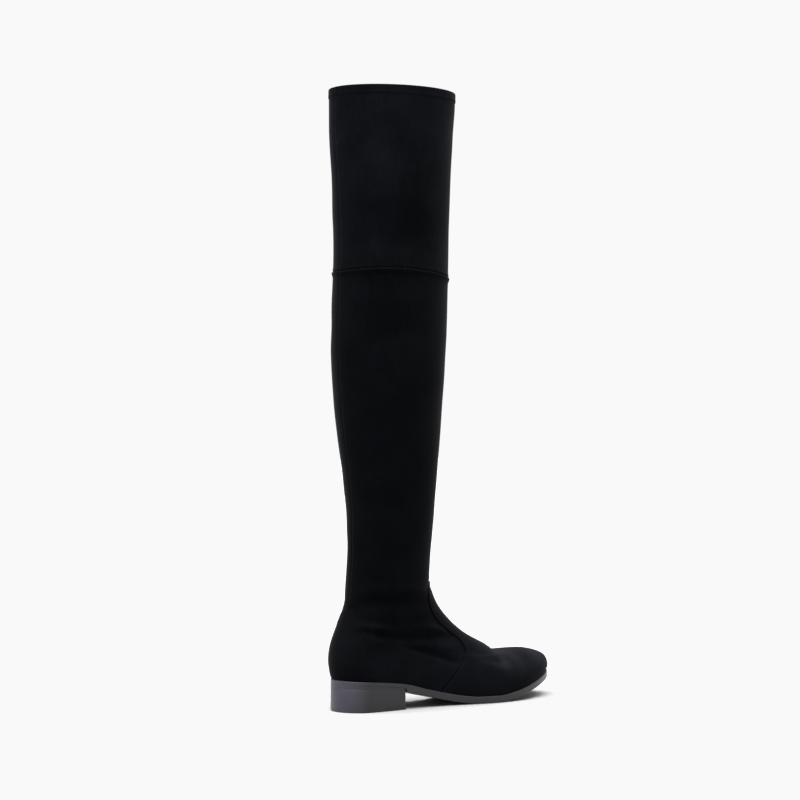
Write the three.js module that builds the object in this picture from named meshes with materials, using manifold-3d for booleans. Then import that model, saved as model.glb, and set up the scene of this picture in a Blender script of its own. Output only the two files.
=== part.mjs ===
// Thigh high boot for the right foot: a pull-on suede boot with a low block heel.
// Millimetres, +Z up, toe towards +X, the outer side of the foot towards -Y.
// The origin is on the floor, at the centre of the heel's bottom face.

import * as THREE from 'three';
import { mergeVertices } from 'three/addons/utils/BufferGeometryUtils.js';
import Module from 'manifold-3d';

const wasm = await Module();
wasm.setup();

// Driving sizes of the sole, heel and insole
const soleLength = 268;
const ballWidth = 88;
const soleThickness = 7.2;
const toeThickness = 5.8;
const seatThickness = 3.8;
const soleProjection = 1.2;
const seatHeight = 31;
const blockLength = 65;
const blockWidth = 56;
const insoleThickness = 2;

// Driving sizes of the ankle, leg and thigh
const ankleHeight = 120;
const kneeSeamHeight = 437;
const bootHeight = 618;
const ankleDepth = 90;
const ankleWidth = 68.5;
const legDepth = 124.5;
const legWidth = 101.5;
const thighDepth = 142.5;
const thighWidth = 92.5;
const topLineRise = 4;
const seamFrontDip = 7;
const seamBackDip = 3;

// Walls, overlays, edges and the gap between pieces that meet
const upperWall = 1.8;
const vampThickness = 0.9;
const counterThickness = 0.6;
const hemWidth = 9;
const hemStep = 0.5;
const seamRidge = 1.8;
const seamReach = 5;
const fit = 0.3;

// Steps of the mesh: points in each ring, and rings up the outside and the inside
const columns = 48;
const footSteps = { outside: 20, inside: 12 };
const legSteps = { outside: 8, inside: 5 };
const thighSteps = { outside: 7, inside: 5 };
const soleSteps = 32;
const blockSteps = 16;
const vampSteps = 22;
const counterSteps = 14;

// Heights and places worked out from the driving sizes. Spare is how far a cutting shape
// reaches past what it cuts, pastToe is a share of the sole length, and skinTop is the
// level, above the tongue, that the skins for the overlays reach.
const heelBack = -blockLength / 2;
const breast = blockLength / 2;
const legHeight = kneeSeamHeight - ankleHeight;
const thighHeight = bootHeight - kneeSeamHeight;
const footInset = soleProjection + vampThickness + fit;
const spare = 1;
const pastToe = 1.1;
const skinTop = 1.15;

// The underside of the sole from heel to toe: at is a share of the sole length and rise a
// share of the seat height. It stands on the floor between the two rows with no rise.
const underside = [
  { at: 0.00, rise: 0.765 },
  { at: 0.10, rise: 0.715 },
  { at: 0.24, rise: 0.585 },
  { at: 0.34, rise: 0.365 },
  { at: 0.44, rise: 0.165 },
  { at: 0.53, rise: 0.030 },
  { at: 0.57, rise: 0.000 },
  { at: 0.65, rise: 0.000 },
  { at: 0.74, rise: 0.120 },
  { at: 0.83, rise: 0.310 },
  { at: 0.91, rise: 0.485 },
  { at: 1.00, rise: 0.665 },
];

// The sole's outline: outer and inner are shares of the ball width, from the heel's middle
// line, arch is what the upper adds over the inner waist, and the round ends come from
// the two shares of the sole length below
const outline = [
  { at: 0.00, outer: 0.320, inner: 0.320, arch: 0.000 },
  { at: 0.12, outer: 0.322, inner: 0.318, arch: 0.005 },
  { at: 0.26, outer: 0.326, inner: 0.290, arch: 0.045 },
  { at: 0.40, outer: 0.348, inner: 0.262, arch: 0.085 },
  { at: 0.52, outer: 0.412, inner: 0.330, arch: 0.050 },
  { at: 0.64, outer: 0.482, inner: 0.470, arch: 0.005 },
  { at: 0.74, outer: 0.492, inner: 0.508, arch: 0.000 },
  { at: 1.00, outer: 0.450, inner: 0.540, arch: 0.000 },
];
const heelRound = 0.105;
const toeRound = 0.30;
const toeLean = 0.05;
const leanFrom = 0.60;

// Rings of the foot from the feather line to the ankle, in two tables of the same rows.
// The first holds their ends from the side: front and back are shares of the sole length,
// and frontRise, backRise and drop, the sag of the forepart, are shares of the ankle height.
const footEnds = [
  { back: 0.006, backRise: 0.262, front: 0.986, frontRise: 0.200, drop: 0.000 },
  { back: -0.001, backRise: 0.300, front: 0.999, frontRise: 0.256, drop: 0.015 },
  { back: -0.005, backRise: 0.350, front: 0.989, frontRise: 0.320, drop: 0.060 },
  { back: -0.007, backRise: 0.400, front: 0.951, frontRise: 0.371, drop: 0.085 },
  { back: -0.006, backRise: 0.455, front: 0.891, frontRise: 0.398, drop: 0.096 },
  { back: -0.002, backRise: 0.515, front: 0.821, frontRise: 0.403, drop: 0.075 },
  { back: 0.006, backRise: 0.580, front: 0.744, frontRise: 0.400, drop: 0.040 },
  { back: 0.017, backRise: 0.645, front: 0.667, frontRise: 0.480, drop: 0.025 },
  { back: 0.030, backRise: 0.715, front: 0.582, frontRise: 0.571, drop: 0.015 },
  { back: 0.044, backRise: 0.790, front: 0.508, frontRise: 0.690, drop: 0.008 },
  { back: 0.057, backRise: 0.880, front: 0.442, frontRise: 0.842, drop: 0.004 },
];

// The second holds their plan: fore and rear widen the sole's outline before and behind the
// instep, swell is how far the upper fills the arch, leg is how far the ring has turned
// into the ankle's oval, and nose is the share of the ring's length that rounds its front
const footPlans = [
  { fore: 1.000, rear: 1.02, swell: 0.0, leg: 0.00, nose: 0.30 },
  { fore: 1.025, rear: 1.07, swell: 0.3, leg: 0.00, nose: 0.30 },
  { fore: 1.010, rear: 1.10, swell: 0.7, leg: 0.00, nose: 0.29 },
  { fore: 0.965, rear: 1.11, swell: 1.0, leg: 0.00, nose: 0.30 },
  { fore: 0.915, rear: 1.11, swell: 1.0, leg: 0.02, nose: 0.33 },
  { fore: 0.900, rear: 1.10, swell: 1.0, leg: 0.06, nose: 0.36 },
  { fore: 0.890, rear: 1.09, swell: 1.0, leg: 0.14, nose: 0.38 },
  { fore: 0.860, rear: 1.07, swell: 1.0, leg: 0.27, nose: 0.40 },
  { fore: 0.840, rear: 1.04, swell: 0.8, leg: 0.45, nose: 0.42 },
  { fore: 0.870, rear: 1.02, swell: 0.5, leg: 0.66, nose: 0.45 },
  { fore: 0.930, rear: 1.01, swell: 0.2, leg: 0.85, nose: 0.48 },
];
// Where along a ring its width changes, how much of it the sag rounds, and how many of the
// lowest rings still follow the sole
const widenFrom = 0.25;
const widenTo = 0.80;
const sagRound = 0.25;
const ringsOnSole = 4;
const footRings = footEnds.map((ends, i) => ({ ...ends, ...footPlans[i] }));

// Rings of the leg from the ankle to the knee seam: at is a share of that height, middle
// a share of the sole length, and depth and width run from the ankle's to the leg's own
const legRings = [
  { at: 0.00, middle: 0.2330, depth: 0.010, width: 0.030 },
  { at: 0.06, middle: 0.2380, depth: 0.005, width: 0.000 },
  { at: 0.16, middle: 0.2450, depth: 0.063, width: 0.090 },
  { at: 0.26, middle: 0.2480, depth: 0.152, width: 0.234 },
  { at: 0.36, middle: 0.2465, depth: 0.315, width: 0.446 },
  { at: 0.48, middle: 0.2405, depth: 0.556, width: 0.712 },
  { at: 0.60, middle: 0.2380, depth: 0.748, width: 0.901 },
  { at: 0.70, middle: 0.2385, depth: 0.886, width: 0.978 },
  { at: 0.82, middle: 0.2410, depth: 1.000, width: 0.965 },
  { at: 1.00, middle: 0.2505, depth: 1.000, width: 0.864 },
];

// Rings of the thigh panel from the knee seam to the top line: at is a share of that
// height, and depth and width run from the knee seam's to the thigh's own
const thighRings = [
  { at: 0.00, middle: 0.2505, depth: 0.00, width: 0.00 },
  { at: 0.25, middle: 0.2535, depth: 0.14, width: 0.55 },
  { at: 0.50, middle: 0.2530, depth: 0.42, width: 1.10 },
  { at: 0.75, middle: 0.2525, depth: 0.78, width: 1.20 },
  { at: 0.92, middle: 0.2575, depth: 0.97, width: 1.05 },
  { at: 1.00, middle: 0.2585, depth: 1.00, width: 1.00 },
];

// Edge of the knee seam at the top of the upper: under is a share of the seam's reach, and
// out one of its ridge. The foot of the thigh panel stands out by a share of that ridge.
const kneeEdge = [
  { under: 1.0, out: 0.00 },
  { under: 0.5, out: 0.75 },
  { under: 0.2, out: 1.00 },
  { under: 0.0, out: 0.50 },
];
const panelLip = 0.30;

// Edge of the vamp and its tongue from the side, up from the feather line: x is a share of
// the sole length from the heel's back and z a share of the ankle height
const vampEdge = [
  { x: 0.375, z: -0.050 },
  { x: 0.420, z: 0.157 },
  { x: 0.456, z: 0.240 },
  { x: 0.492, z: 0.330 },
  { x: 0.514, z: 0.390 },
  { x: 0.519, z: 0.450 },
  { x: 0.507, z: 0.530 },
  { x: 0.450, z: 0.627 },
  { x: 0.405, z: 0.700 },
  { x: 0.370, z: 0.785 },
  { x: 0.355, z: 0.870 },
  { x: 0.351, z: 0.955 },
  { x: 0.355, z: 0.990 },
  { x: 0.366, z: 1.020 },
  { x: 0.383, z: 1.038 },
  { x: 0.410, z: 1.046 },
];

// Top edge of the heel counter from the side, from the back to the vamp, in like shares
const counterEdge = [
  { x: -0.100, z: 0.890 },
  { x: 0.045, z: 0.880 },
  { x: 0.053, z: 0.800 },
  { x: 0.056, z: 0.710 },
  { x: 0.085, z: 0.630 },
  { x: 0.140, z: 0.578 },
  { x: 0.240, z: 0.500 },
  { x: 0.345, z: 0.424 },
  { x: 0.400, z: 0.365 },
  { x: 0.500, z: 0.318 },
];

// Smooth curve through the rows of a table, level between two equal rows
function along(rows, place, column) {
  const last = rows.length - 1;
  const at = (i) => rows[i].at ?? i;
  let k = 0;
  while (k < last - 1 && place > at(k + 1)) k += 1;
  const step = (i) => at(i + 1) - at(i);
  const slope = (i) => (rows[i + 1][column] - rows[i][column]) / step(i);
  const tangent = (i) => {
    if (i === 0) return slope(0);
    if (i === last) return slope(last - 1);
    const before = slope(i - 1);
    const after = slope(i);
    if (before * after <= 0) return 0;
    const weightBefore = 2 * step(i) + step(i - 1);
    const weightAfter = step(i) + 2 * step(i - 1);
    return (weightBefore + weightAfter) / (weightBefore / before + weightAfter / after);
  };
  const t = THREE.MathUtils.clamp((place - at(k)) / step(k), 0, 1);
  const ease = t * t * (3 - 2 * t);
  const leave = t * (1 - t) * (1 - t) * step(k) * tangent(k);
  const arrive = t * t * (1 - t) * step(k) * tangent(k + 1);
  return THREE.MathUtils.lerp(rows[k][column], rows[k + 1][column], ease) + leave - arrive;
}

const { lerp, smoothstep } = THREE.MathUtils;
const soleX = (share) => heelBack + soleLength * share;
const soleShare = (x) => (x - heelBack) / soleLength;
const range = (from, to, count) => Array.from(
  { length: count + 1 },
  (_, i) => from + (to - from) * i / count,
);

// Heights of the sole: its underside, its top and the feather line that the upper sits on
const edgeThickness = [
  { at: 0.0, thickness: soleThickness },
  { at: 0.6, thickness: soleThickness },
  { at: 1.0, thickness: toeThickness },
];
const undersideHeight = (x) => seatHeight * along(underside, soleShare(x), 'rise');
const soleTop = (x) => undersideHeight(x) + along(edgeThickness, soleShare(x), 'thickness');
const featherHeight = (x) => soleTop(x) + fit;

// A round end: 0 at the tip, and 1 from the given length on
function endRound(distance, length) {
  const left = 1 - Math.min(1, Math.max(0, distance) / length);
  return Math.sqrt(1 - left * left);
}

// The toe leans to the inner side
function toeShift(share) {
  const forward = Math.max(0, share - leanFrom) / (1 - leanFrom);
  return ballWidth * toeLean * forward * forward;
}

// The foot's last row is the leg's first, so that foot and leg meet
const ankle = legRings[0];
const ankleShare = lerp(ankleDepth, legDepth, ankle.depth) / soleLength;
footRings.push({
  back: ankle.middle - ankleShare / 2,
  backRise: 1,
  front: ankle.middle + ankleShare / 2,
  frontRise: 1,
  drop: 0,
  fore: 1,
  rear: 1,
  swell: 0,
  leg: 1,
  nose: 0.5,
});

// The boot's outer form: turn runs once round from the back by the outer side, and level
// runs from 0 at the feather line to 1 at the ankle, 2 at the knee seam and 3 at the top
function formPoint(turn, level) {
  const angle = 2 * Math.PI * turn;
  const share = (1 - Math.cos(angle)) / 2;
  const side = Math.sin(angle) < 0 ? 1 : -1;
  if (level <= 1) return footPoint(share, side, level * (footRings.length - 1));
  const sine = Math.abs(Math.sin(angle));
  return level <= 2 ? legPoint(share, side * sine, level - 1) : thighPoint(share, side * sine, level - 2);
}

function footPoint(share, side, place) {
  const ring = (column) => along(footRings, place, column);
  const x = lerp(soleX(ring('back')), soleX(ring('front')), share);

  const outer = along(outline, soleShare(x), 'outer');
  const inner = along(outline, soleShare(x), 'inner')
    + along(outline, soleShare(x), 'arch') * ring('swell');
  const print = ballWidth * (side < 0 ? outer : inner) - footInset;
  const oval = lerp(ankleWidth, legWidth, ankle.width) / 2;
  const ends = endRound(1 - share, ring('nose')) * endRound(share, lerp(heelRound, 0.5, ring('leg')));
  const widen = lerp(ring('rear'), ring('fore'), smoothstep(share, widenFrom, widenTo));
  const half = widen * lerp(print, oval, ring('leg')) * ends;

  const sag = endRound(1 - share, sagRound) ** 2 * smoothstep(share, 0, widenTo);
  const rise = lerp(ring('backRise'), ring('frontRise'), share) - ring('drop') * sag;
  const first = footRings[0];
  const firstRise = ankleHeight * lerp(first.backRise, first.frontRise, share);
  const onSole = Math.max(0, 1 - place / ringsOnSole) * (featherHeight(x) - firstRise);
  const lean = toeShift(soleShare(x));
  return new THREE.Vector3(x, side * half + lean, ankleHeight * rise + onSole);
}

function seamDip(share) {
  return seamFrontDip * share ** 2 + seamBackDip * (1 - share) ** 6;
}

function legPoint(share, across, place) {
  const depth = lerp(ankleDepth, legDepth, along(legRings, place, 'depth'));
  const width = lerp(ankleWidth, legWidth, along(legRings, place, 'width'));
  const x = soleX(along(legRings, place, 'middle')) + depth * (share - 0.5);
  const z = ankleHeight + legHeight * place - seamDip(share) * place ** 4;
  return new THREE.Vector3(x, across * width / 2, z);
}

function thighPoint(share, across, place) {
  const knee = legRings[legRings.length - 1];
  const kneeDepth = lerp(ankleDepth, legDepth, knee.depth);
  const kneeWidth = lerp(ankleWidth, legWidth, knee.width);
  const depth = lerp(kneeDepth, thighDepth, along(thighRings, place, 'depth'));
  const width = lerp(kneeWidth, thighWidth, along(thighRings, place, 'width'));
  const x = soleX(along(thighRings, place, 'middle')) + depth * (share - 0.5);
  const topRise = topLineRise * place ** 2 * (share - 0.5);
  const z = kneeSeamHeight + thighHeight * place - seamDip(share) * (1 - place) ** 4 + topRise;
  return new THREE.Vector3(x, across * width / 2, z);
}

// Outward direction of the form, level at the feather line
const tiny = 1e-4;
function formNormal(turn, level) {
  const up = formPoint(turn, level + tiny).sub(formPoint(turn, Math.max(0, level - tiny)));
  const round = formPoint(turn + tiny, level).sub(formPoint(turn - tiny, level));
  const normal = new THREE.Vector3().crossVectors(round, up);
  if (level === 0) normal.z = 0;
  return normal.normalize();
}

// One ring of the form, moved out along its normals and down by an amount
function loopAt({ level, out, lower = 0 }) {
  return range(0, 1, columns).slice(0, -1).map((turn) => {
    const point = formPoint(turn, level).addScaledVector(formNormal(turn, level), out);
    return point.setZ(point.z - lower);
  });
}

// A solid from its points and triangles
function geometryOf(points, faces) {
  const geometry = new THREE.BufferGeometry();
  const positions = points.flatMap((p) => [p.x, p.y, p.z]);
  geometry.setAttribute('position', new THREE.Float32BufferAttribute(positions, 3));
  geometry.setIndex(faces);
  return geometry;
}

// Triangles between two loops, facing out when the second loop is the upper one
function joinLoops(faces, first, second) {
  for (let i = 0; i < columns; i += 1) {
    const next = (i + 1) % columns;
    faces.push(first + i, second + next, second + i);
    faces.push(first + i, first + next, second + next);
  }
}

// A hollow wall: loops up the outside, over the rim, down the inside and round its foot
function wall(outside, inside) {
  const loops = [...outside, ...inside.toReversed()].map(loopAt);
  const faces = [];
  loops.forEach((loop, k) => joinLoops(faces, k * columns, ((k + 1) % loops.length) * columns));
  return geometryOf(loops.flat(), faces);
}

// The same form filled from side to side, for cutting
function filled(rows) {
  const loops = rows.map(loopAt);
  const faces = [];
  for (let k = 0; k < loops.length - 1; k += 1) joinLoops(faces, k * columns, (k + 1) * columns);
  const top = (loops.length - 1) * columns;
  const cap = (a, b, c) => faces.push(a, c, b, top + a, top + b, top + c);
  for (let i = 1; i <= columns / 2; i += 1) {
    const far = columns - i;
    if (i > 1) cap(i - 1, i, (far + 1) % columns);
    if (i < columns / 2) cap(i, far, (far + 1) % columns);
  }
  return geometryOf(loops.flat(), faces);
}

// Solid booleans
function solidOf(geometry) {
  const bare = geometry.clone();
  bare.deleteAttribute('normal');
  bare.deleteAttribute('uv');
  const merged = mergeVertices(bare, tiny);
  return new wasm.Manifold(new wasm.Mesh({
    numProp: 3,
    vertProperties: new Float32Array(merged.attributes.position.array),
    triVerts: new Uint32Array(merged.index.array),
  }));
}

function geometryFrom(solid) {
  const mesh = solid.getMesh();
  const geometry = new THREE.BufferGeometry();
  geometry.setAttribute('position', new THREE.BufferAttribute(mesh.vertProperties, 3));
  geometry.setIndex(new THREE.BufferAttribute(mesh.triVerts, 1));
  return geometry;
}

// A plan outline raised from the floor, and a side outline carried right across the boot
function standing(points) {
  const height = 2 * seatHeight;
  return new THREE.ExtrudeGeometry(new THREE.Shape(points), { depth: height, bevelEnabled: false });
}

function crossing(points) {
  const width = 2 * ballWidth;
  const geometry = new THREE.ExtrudeGeometry(
    new THREE.Shape(points),
    { depth: width, bevelEnabled: false },
  );
  return geometry.rotateX(Math.PI / 2).translate(0, width / 2, 0);
}

// A flat sheet or block: a plan outline cut to the heights of its side view
function cutToProfile(plan, upperEdge, lowerEdge) {
  return geometryFrom(
    solidOf(standing(plan)).intersect(solidOf(crossing([...lowerEdge, ...upperEdge.toReversed()]))),
  );
}

const suede = new THREE.MeshStandardMaterial({ color: 0x17181c, roughness: 0.95, metalness: 0 });
const rubber = new THREE.MeshStandardMaterial({ color: 0x46464c, roughness: 0.45, metalness: 0 });
const lining = new THREE.MeshStandardMaterial({ color: 0x26262a, roughness: 0.8, metalness: 0 });

const boot = new THREE.Group();
boot.name = 'thigh_high_boot';

function add(name, geometry, finish) {
  const mesh = new THREE.Mesh(geometry, finish);
  mesh.name = name;
  boot.add(mesh);
}

// Upper: foot and leg as one wall up to the knee seam, where its edge stands out
const edgeStep = 10 * tiny;
const legEnd = 2 - 2 * tiny;
const kneeRows = kneeEdge.map(({ under, out }) => ({
  level: Math.min(legEnd, 2 - under * seamReach / legHeight),
  out: out * seamRidge,
}));
const upperLevels = (steps, from, to) => [
  ...range(0, 1, steps.foot),
  ...range(from, to, steps.leg).slice(1),
];
const outsideLevels = upperLevels({ foot: footSteps.outside, leg: legSteps.outside }, 1, kneeRows[0].level);
const insideLevels = upperLevels({ foot: footSteps.inside, leg: legSteps.inside }, 1, legEnd);
const upperOutside = [
  ...outsideLevels.map((level) => ({ level, out: 0 })),
  ...kneeRows.slice(1),
];
add('upper', wall(upperOutside, insideLevels.map((level) => ({ level, out: -upperWall }))), suede);

// Thigh panel: the wall above the knee seam, with a folded hem at the top line
const panelFoot = 2 + fit / thighHeight;
const hemLevel = 3 - hemWidth / thighHeight;
const panelOutside = [
  { level: panelFoot, out: panelLip * seamRidge },
  ...range(2 + seamReach / thighHeight, hemLevel, thighSteps.outside).map((level) => ({ level, out: 0 })),
  { level: hemLevel + edgeStep, out: hemStep },
  { level: 3 - tiny, out: hemStep },
];
const panelInside = range(panelFoot, 3 - tiny, thighSteps.inside)
  .map((level) => ({ level, out: -upperWall }));
add('thigh_panel', wall(panelOutside, panelInside), suede);

// Overlays of the foot are cut from skins of the upper's own form
const skinLevels = outsideLevels.filter((level) => level <= skinTop);
const skin = (from, to) => {
  const outer = filled(skinLevels.map((level) => ({ level, out: to })));
  const below = { level: 0, out: from, lower: soleThickness };
  const inner = filled([below, ...skinLevels.map((level) => ({ level, out: from }))]);
  return solidOf(outer).subtract(solidOf(inner));
};
const sidePoint = ({ x, z }) => new THREE.Vector2(soleX(x), ankleHeight * z);
const curveThrough = (points, count) => new THREE.SplineCurve(points).getPoints(count);

// Vamp: the toe and the tongue that climbs the instep to the front of the ankle
const vampSide = curveThrough(vampEdge.map(sidePoint), vampSteps);
const vampArea = [
  ...vampSide,
  sidePoint({ x: pastToe, z: vampEdge.at(-1).z }),
  sidePoint({ x: pastToe, z: vampEdge[0].z }),
];
const vamp = skin(fit, fit + vampThickness).intersect(solidOf(crossing(vampArea.toReversed())));
add('vamp', geometryFrom(vamp), suede);

// Heel counter: wraps the heel below its edge and stops short of the vamp
const counterTop = curveThrough(counterEdge.map(sidePoint), counterSteps);
const counterArea = [
  sidePoint({ x: counterEdge[0].x, z: vampEdge[0].z }),
  sidePoint({ x: counterEdge.at(-1).x, z: vampEdge[0].z }),
  ...counterTop.toReversed(),
];
const pastVampEdge = crossing(vampArea.toReversed()).translate(-2 * fit, 0, 0);
const counter = skin(fit, fit + counterThickness)
  .intersect(solidOf(crossing(counterArea)))
  .subtract(solidOf(pastVampEdge));
add('heel_counter', geometryFrom(counter), suede);

// Outsole: the whole plan, thin over the heel and thicker from the breast on
const flatRows = underside.filter((row) => row.rise === 0).map((row) => row.at);
const soleSpots = [...range(0, 1, soleSteps), ...flatRows].sort((a, b) => a - b).map(soleX);
const soleEnds = [heelBack - spare, ...soleSpots.slice(1, -1), soleX(1) + spare];
const beforeBreast = soleEnds.filter((x) => x < breast - 2 * spare);
const pastBreast = soleEnds.filter((x) => x > breast + 2 * spare);
function solePlan() {
  const spots = range(0, Math.PI, soleSteps).map((angle) => (1 - Math.cos(angle)) / 2);
  const edge = (share, side) => {
    const ends = endRound(share, heelRound) * endRound(1 - share, toeRound);
    const half = ballWidth * along(outline, share, side < 0 ? 'outer' : 'inner') * ends;
    return new THREE.Vector2(soleX(share), side * half + toeShift(share));
  };
  const outer = spots.map((share) => edge(share, -1));
  const inner = spots.slice(1, -1).map((share) => edge(share, 1));
  return [...outer, ...inner.toReversed()];
}
const at = (x, z) => new THREE.Vector2(x, z);
const soleUpperEdge = [...beforeBreast, breast, ...pastBreast].map((x) => at(x, soleTop(x)));
const soleLowerEdge = [
  ...[...beforeBreast, breast].map((x) => at(x, soleTop(x) - seatThickness)),
  ...[breast, ...pastBreast].map((x) => at(x, undersideHeight(x))),
];
add('outsole', cutToProfile(solePlan(), soleUpperEdge, soleLowerEdge), rubber);

// Heel block: a round back and a straight breast, up to the seat
function blockPlan() {
  const radius = blockWidth / 2;
  const shape = new THREE.Shape();
  shape.moveTo(breast, -radius);
  shape.lineTo(breast, radius);
  shape.lineTo(heelBack + radius, radius);
  shape.absarc(heelBack + radius, 0, radius, Math.PI / 2, Math.PI * 3 / 2, false);
  return shape.getPoints(blockSteps);
}
const blockEdge = [...beforeBreast, breast + spare];
const blockTop = blockEdge.map((x) => at(x, soleTop(x) - seatThickness - fit));
const blockFoot = [at(blockEdge[0], 0), at(breast + spare, 0)];
add('heel', cutToProfile(blockPlan(), blockTop, blockFoot), rubber);

// Insole: lies on the sole inside the upper
const insolePlan = loopAt({ level: 0, out: -upperWall - fit }).map((p) => at(p.x, p.y));
const insoleEdge = (height) => soleEnds.map((x) => at(x, featherHeight(x) + height));
add('insole', cutToProfile(insolePlan, insoleEdge(insoleThickness), insoleEdge(0)), lining);

export default boot;
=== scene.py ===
"""Thigh high boot for the right foot: the looks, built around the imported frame.

Metres, +Z up, toe towards +X, the outer side of the foot towards -Y.
The origin is on the floor, at the centre of the heel's bottom face.
"""

import math
from bisect import bisect_right
from functools import lru_cache

import bmesh
import bpy
from mathutils import Matrix, Vector, noise


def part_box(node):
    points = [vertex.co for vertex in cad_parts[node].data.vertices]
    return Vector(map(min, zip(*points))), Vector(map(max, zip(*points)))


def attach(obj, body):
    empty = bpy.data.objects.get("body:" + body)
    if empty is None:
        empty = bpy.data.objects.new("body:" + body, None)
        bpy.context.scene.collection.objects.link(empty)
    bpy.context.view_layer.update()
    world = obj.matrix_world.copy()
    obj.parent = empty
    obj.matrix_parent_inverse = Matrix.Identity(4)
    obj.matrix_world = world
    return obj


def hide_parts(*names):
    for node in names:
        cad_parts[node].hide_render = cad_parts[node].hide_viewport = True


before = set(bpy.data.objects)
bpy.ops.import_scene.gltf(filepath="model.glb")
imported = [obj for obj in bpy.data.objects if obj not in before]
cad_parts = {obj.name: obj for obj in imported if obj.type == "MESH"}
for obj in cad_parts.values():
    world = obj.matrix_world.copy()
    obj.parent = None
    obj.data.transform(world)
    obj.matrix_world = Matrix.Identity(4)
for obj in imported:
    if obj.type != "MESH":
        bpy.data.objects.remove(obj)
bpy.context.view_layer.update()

# Driving sizes of the sole, heel and insole
mm = 0.001
sole_low, sole_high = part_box("outsole")
heel_low, heel_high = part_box("heel")
heel_back = sole_low[0]
sole_length = sole_high[0] - sole_low[0]
ball_width = 88 * mm
sole_thickness = 7.2 * mm
toe_thickness = 5.8 * mm
seat_thickness = 3.8 * mm
sole_projection = 1.2 * mm
seat_height = 31 * mm
block_radius = (heel_high[1] - heel_low[1]) / 2
breast = heel_high[0]
insole_thickness = 2 * mm

# Driving sizes of the ankle, leg and thigh
ankle_height = 120 * mm
knee_seam_height = 437 * mm
boot_height = 618 * mm
ankle_depth = 90 * mm
ankle_width = 68.5 * mm
leg_depth = 124.5 * mm
leg_width = 101.5 * mm
thigh_depth = 142.5 * mm
thigh_width = 92.5 * mm
top_line_rise = 4 * mm
seam_front_dip = 7 * mm
seam_back_dip = 3 * mm

# Walls, overlays, edges and the gap between pieces that meet
upper_wall = 1.8 * mm
vamp_thickness = 0.9 * mm
counter_thickness = 0.6 * mm
hem_width = 9 * mm
hem_step = 0.5 * mm
seam_ridge = 1.8 * mm
seam_reach = 5 * mm
fit = 0.3 * mm

leg_height = knee_seam_height - ankle_height
thigh_height = boot_height - knee_seam_height
foot_inset = sole_projection + vamp_thickness + fit


def clamp(value, low=0.0, high=1.0):
    return min(high, max(low, value))


def lerp(a, b, t):
    return a + (b - a) * t


def smoothstep(value, low, high):
    t = clamp((value - low) / (high - low))
    return t * t * (3 - 2 * t)


class Curve:
    """A smooth curve through the points of a table, level between two equal values."""

    def __init__(self, places, values):
        self.places = places
        self.values = values
        steps = [b - a for a, b in zip(places, places[1:])]
        slopes = [(b - a) / step for a, b, step in zip(values, values[1:], steps)]
        self.tangents = [slopes[0]]
        for i in range(1, len(slopes)):
            before, after = slopes[i - 1], slopes[i]
            if before * after <= 0:
                self.tangents.append(0.0)
                continue
            weight_before = 2 * steps[i] + steps[i - 1]
            weight_after = steps[i] + 2 * steps[i - 1]
            total = weight_before + weight_after
            self.tangents.append(total / (weight_before / before + weight_after / after))
        self.tangents.append(slopes[-1])

    def __call__(self, place):
        places = self.places
        k = min(max(bisect_right(places, place) - 1, 0), len(places) - 2)
        step = places[k + 1] - places[k]
        t = clamp((place - places[k]) / step)
        ease = t * t * (3 - 2 * t)
        leave = t * (1 - t) * (1 - t) * step * self.tangents[k]
        arrive = t * t * (1 - t) * step * self.tangents[k + 1]
        return lerp(self.values[k], self.values[k + 1], ease) + leave - arrive


def curves(columns, rows):
    """One curve for each named column after the first, which is the place of the row."""
    names = columns.split()
    places = [row[0] for row in rows]
    return {name: Curve(places, [row[i] for row in rows]) for i, name in enumerate(names) if i}


# The underside of the sole: at is a share of the sole length, rise one of the seat height
underside = curves("at rise", [
    (0.00, 0.765),
    (0.10, 0.715),
    (0.24, 0.585),
    (0.34, 0.365),
    (0.44, 0.165),
    (0.53, 0.030),
    (0.57, 0.000),
    (0.65, 0.000),
    (0.74, 0.120),
    (0.83, 0.310),
    (0.91, 0.485),
    (1.00, 0.665),
])["rise"]

# The sole's outline: outer and inner are shares of the ball width, and arch is what the
# upper adds over the inner waist
outline = curves("at outer inner arch", [
    (0.00, 0.320, 0.320, 0.000),
    (0.12, 0.322, 0.318, 0.005),
    (0.26, 0.326, 0.290, 0.045),
    (0.40, 0.348, 0.262, 0.085),
    (0.52, 0.412, 0.330, 0.050),
    (0.64, 0.482, 0.470, 0.005),
    (0.74, 0.492, 0.508, 0.000),
    (1.00, 0.450, 0.540, 0.000),
])
heel_round = 0.105
toe_round = 0.30
toe_lean = 0.05
lean_from = 0.60

# Rings of the foot from the feather line to the ankle: front and back are shares of the
# sole length, and front_rise, back_rise and drop are shares of the ankle height
foot_ends = [
    ("back", "back_rise", "front", "front_rise", "drop"),
    (0.006, 0.262, 0.986, 0.200, 0.000),
    (-0.001, 0.300, 0.999, 0.256, 0.015),
    (-0.005, 0.350, 0.989, 0.320, 0.060),
    (-0.007, 0.400, 0.951, 0.371, 0.085),
    (-0.006, 0.455, 0.891, 0.398, 0.096),
    (-0.002, 0.515, 0.821, 0.403, 0.075),
    (0.006, 0.580, 0.744, 0.400, 0.040),
    (0.017, 0.645, 0.667, 0.480, 0.025),
    (0.030, 0.715, 0.582, 0.571, 0.015),
    (0.044, 0.790, 0.508, 0.690, 0.008),
    (0.057, 0.880, 0.442, 0.842, 0.004),
]

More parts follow.
